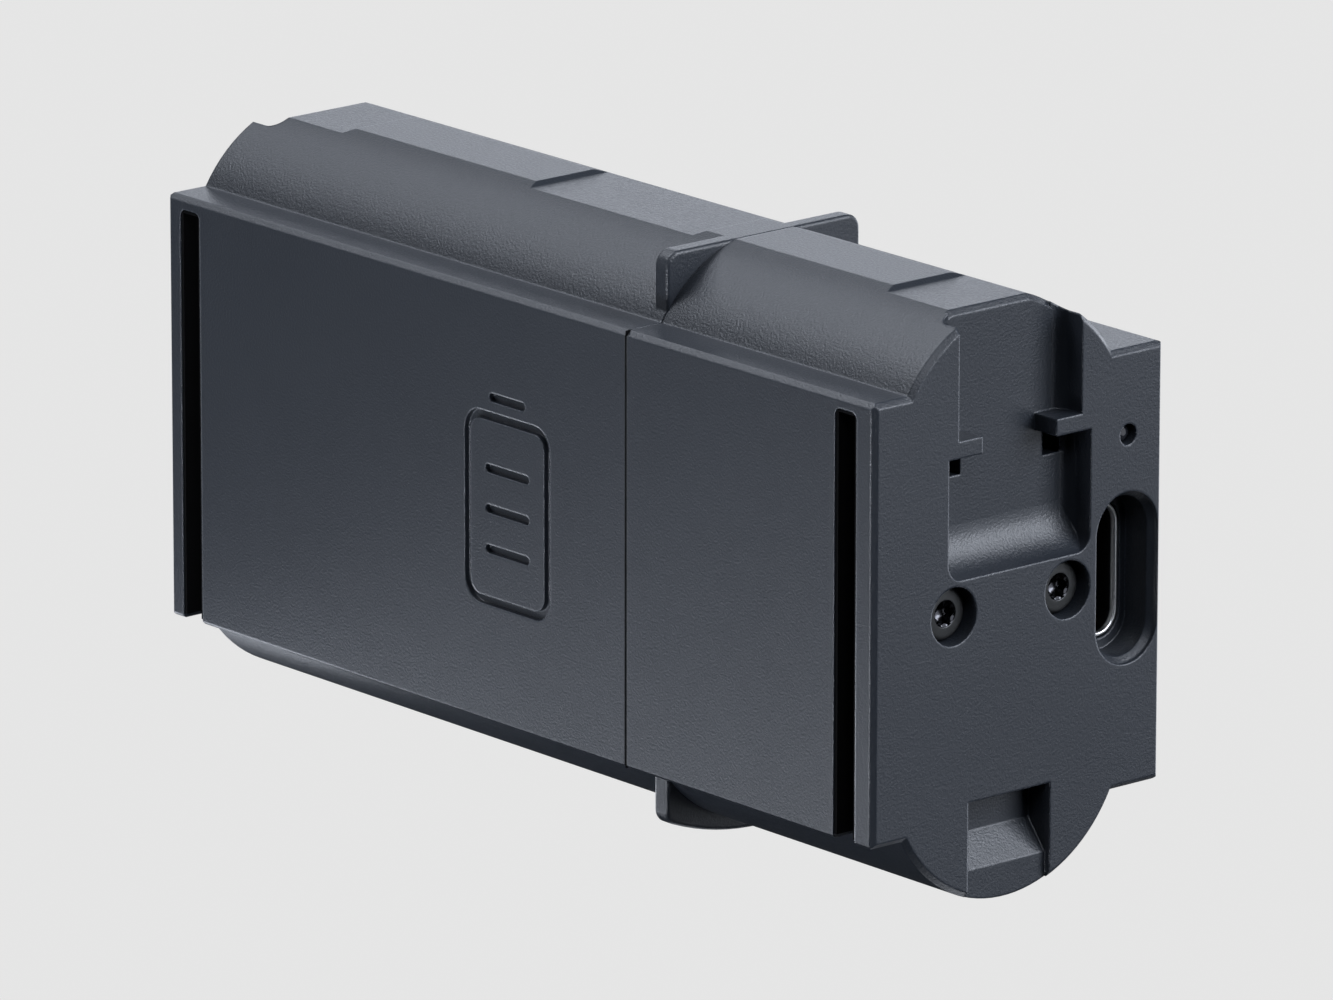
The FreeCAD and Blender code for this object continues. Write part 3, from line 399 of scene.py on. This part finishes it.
def screw_mesh(tip, seat, y, z):
    """A pan-head screw along X: six-lobed socket, rounded head, threaded shank with a blunt point."""
    angles = [math.tau * step / SCREW_SEGMENTS for step in range(SCREW_SEGMENTS)]

    def ring(x, radius):
        sizes = [radius(angle) if callable(radius) else radius for angle in angles]
        return [(x, y + size * math.cos(angle), z + size * math.sin(angle))
                for angle, size in zip(angles, sizes)]

    def lobes(grow):
        return lambda angle: 0.735 + grow + 0.105 * math.cos(6 * angle)

    top = seat + HEAD_HEIGHT
    rings = [ring(top - 0.95, 0.05), ring(top - 0.80, 0.40), ring(top - 0.74, 0.60),
             ring(top - 0.72, lobes(-0.02)), ring(top - 0.66, lobes(0)), ring(top - 0.16, lobes(0)),
             ring(top - 0.10, lobes(0.015)), ring(top - 0.07, 0.865), ring(top - 0.025, 0.885),
             ring(top, 0.915), ring(top, 0.95), ring(top - 0.01, 1.15), ring(top - 0.03, 1.34)]
    corner = 0.32
    for step in range(1, 9):
        turn = math.radians(90 * step / 8)
        rings.append(ring(top - 0.03 - corner * (1 - math.cos(turn)),
                          HEAD_RADIUS - (corner + 0.06) * (1 - math.sin(turn))))
    rings += [ring(seat + 0.08, HEAD_RADIUS), ring(seat, 1.68), ring(seat, 1.06), ring(seat - 0.12, 0.97)]
    steps = 6
    x = seat - 0.5
    while x > tip + 0.6:
        def thread(angle, x=x):
            phase = (x / SCREW_PITCH + angle / math.tau) % 1.0
            return 0.80 + 0.19 * max(0.0, 1 - abs(phase - 0.5) * 2.6)
        rings.append(ring(x, thread))
        x -= SCREW_PITCH / steps
    rings += [ring(tip + 0.45, 0.78), ring(tip + 0.08, 0.6), ring(tip, 0.45)]
    return ring_mesh("screw", rings)


def add_screws():
    middle, low, high = centre("end_screws")
    meshes = [screw_mesh(low[0], high[0] - HEAD_HEIGHT, y, middle[2])
              for y in (low[1] + HEAD_RADIUS, high[1] - HEAD_RADIUS)]
    add_piece("end_screws_detailed", meshes, "screw_black", "end_screws")


def add_port_shell():
    """The drawn shell: an oval tube with a flat rolled lip at its mouth and a raised bead behind it."""
    middle, low, high = centre("usb_shell")
    radius = (high[1] - low[1]) / 2
    straight = (high[2] - low[2]) / 2 - radius
    skin = 0.3
    steps = 28

    def oval(x, size):
        points = []
        for side in (1, -1):
            for step in range(steps + 1):
                turn = math.pi * step / steps + (0 if side > 0 else math.pi)
                points.append((x, middle[1] + size * math.cos(turn),
                               middle[2] + side * straight + size * math.sin(turn)))
        return points

    mouth = high[0]
    inner = radius - skin
    outline = [(low[0], radius), (mouth - 0.50, radius), (mouth - 0.47, radius + 0.05),
               (mouth - 0.40, radius + 0.08), (mouth - 0.30, radius + 0.08),
               (mouth - 0.23, radius + 0.05), (mouth - 0.20, radius - 0.02),
               (mouth - 0.12, radius - 0.03), (mouth - 0.06, radius - 0.035), (mouth - 0.02, radius - 0.055),
               (mouth, radius - 0.09), (mouth, inner + 0.09), (mouth - 0.02, inner + 0.05),
               (mouth - 0.06, inner + 0.02), (mouth - 0.12, inner), (mouth - 0.9, inner), (low[0], inner)]
    rings = [oval(x, size) for x, size in outline]
    add_piece("usb_shell_detailed", [ring_mesh("shell", rings, loop=True)], "shell_steel", "usb_shell")


def add_seam_shade_strip():
    """A near-black strip set in the seam on the flat faces, front and rear, with a short lip over each end:
    painted shade, a dark piece standing for the shade in the seam's gap.
    """
    rear = centre("left_housing")[2][1]
    start, end = SEAM[0] + 0.01, SEAM[1] - 0.01
    sink, width, reach = 0.01, 0.35, 0.55
    plate_half_height = 14.5
    tip = plate_half_height - sink
    outline = [(sink, -tip), (reach, -tip), (reach, width - tip), (sink + width, width - tip),
               (sink + width, tip - width), (reach, tip - width), (reach, tip), (sink, tip)]
    meshes = []
    for face, inward in ((0.0, 1), (rear, -1)):
        rings = [[(x, face + inward * depth, z) for depth, z in outline] for x in (start, end)]
        meshes.append(ring_mesh("bead", rings))
    # painted shade: the strip takes the near-black liner material to darken the seam
    add_piece("seam_shade_strip", meshes, "liner_rubber")


add_screws()
add_port_shell()
add_seam_shade_strip()

# ---- floor and light

FLOOR_DROP = 1.2
FLOOR_TONE = (0.787, 0.787, 0.787)


def add_floor():
    """A plain pale floor far below, lit evenly, that only the camera sees."""
    half = 30.0
    mesh = bpy.data.meshes.new("floor")
    mesh.from_pydata([(-half, -half, 0), (half, -half, 0), (half, half, 0), (-half, half, 0)], [],
                     [(0, 1, 2, 3)])
    floor = bpy.data.objects.new("floor", mesh)
    floor.location.z = -FLOOR_DROP
    bpy.context.scene.collection.objects.link(floor)
    shader = Shader("floor_paint", (0, 0, 0), 1.0, Specular_IOR_Level=0.0)
    shader.bsdf.inputs["Emission Color"].default_value = (*FLOOR_TONE, 1)
    shader.bsdf.inputs["Emission Strength"].default_value = 1.0
    mesh.materials.append(shader.material)
    floor.visible_diffuse = floor.visible_glossy = floor.visible_shadow = False


def add_light(name, place, size, power, target=(0, 0.012, 0)):
    """A square area lamp, slightly cool, that faces the target."""
    data = bpy.data.lights.new(name, "AREA")
    data.color = (0.93, 0.98, 1.08)
    data.shape = "SQUARE"
    data.size = size
    data.energy = power
    lamp = bpy.data.objects.new(name, data)
    lamp.location = place
    direction = Vector(target) - Vector(place)
    lamp.rotation_euler = direction.to_track_quat("-Z", "Y").to_euler()
    lamp.visible_camera = False
    bpy.context.scene.collection.objects.link(lamp)


def around(azimuth, elevation):
    """A place one metre away, by azimuth from the front towards the right and elevation, in degrees."""
    turn, rise = math.radians(azimuth), math.radians(elevation)
    return math.sin(turn) * math.cos(rise), -math.cos(turn) * math.cos(rise), math.sin(rise)


def add_world(strength):
    """Very little light from all round; the backdrop itself looks as pale as the floor."""
    world = bpy.data.worlds.new("studio")
    world.use_nodes = True
    nodes, links = world.node_tree.nodes, world.node_tree.links
    fill = nodes["Background"]
    fill.inputs["Color"].default_value = (1.0, 1.0, 1.0, 1)
    fill.inputs["Strength"].default_value = strength
    backdrop = nodes.new("ShaderNodeBackground")
    backdrop.inputs["Color"].default_value = (*FLOOR_TONE, 1)
    mixed = nodes.new("ShaderNodeMixShader")
    links.new(nodes.new("ShaderNodeLightPath").outputs["Is Camera Ray"], mixed.inputs[0])
    links.new(fill.outputs[0], mixed.inputs[1])
    links.new(backdrop.outputs[0], mixed.inputs[2])
    links.new(mixed.outputs[0], nodes["World Output"].inputs["Surface"])
    bpy.context.scene.world = world


# a lamp's name, azimuth, elevation, size in metres and power in watts
LAMPS = (
    ("right_low", 122, 2, 0.75, 2.45),
    ("right_high", 122, 30, 0.7, 12.5),
    ("front_level", 330, 5, 0.7, 1.2),
    ("front_left_high", 315, 50, 0.4, 3.6),
    ("left_high", 270, 50, 0.7, 2.6),
    ("left_top", 270, 70, 0.7, 3.4),
    ("left_fill", 262, -4, 0.6, 2.0),
    ("back_level", 225, 15, 0.4, 1.1),
    ("rear_fill", 185, -5, 0.7, 5.0),
    ("under_fill", 190, -72, 0.5, 1.8),
    ("camera_high", 62, 45, 0.3, 2.0),
)

# small lamps under the front face that shine up along it: name, place, size and power
CARDS = (
    ("left_card", (-0.08, -0.05, -0.05), 0.045, 0.014),
    ("middle_card", (-0.03, -0.05, -0.05), 0.045, 0.027),
    ("right_card", (0.03, -0.13, -0.05), 0.045, 0.31),
)

bpy.context.scene.view_settings.view_transform = "Standard"
add_floor()
add_world(0.006)
for name, azimuth, elevation, size, power in LAMPS:
    add_light(name, around(azimuth, elevation), size, power)
for name, place, size, power in CARDS:
    add_light(name, place, size, power, target=(place[0], place[1], 1))
add_light("left_under", (-0.052, -0.004, -0.036), 0.02, 0.007, target=(-0.034, 0.010, -0.017))
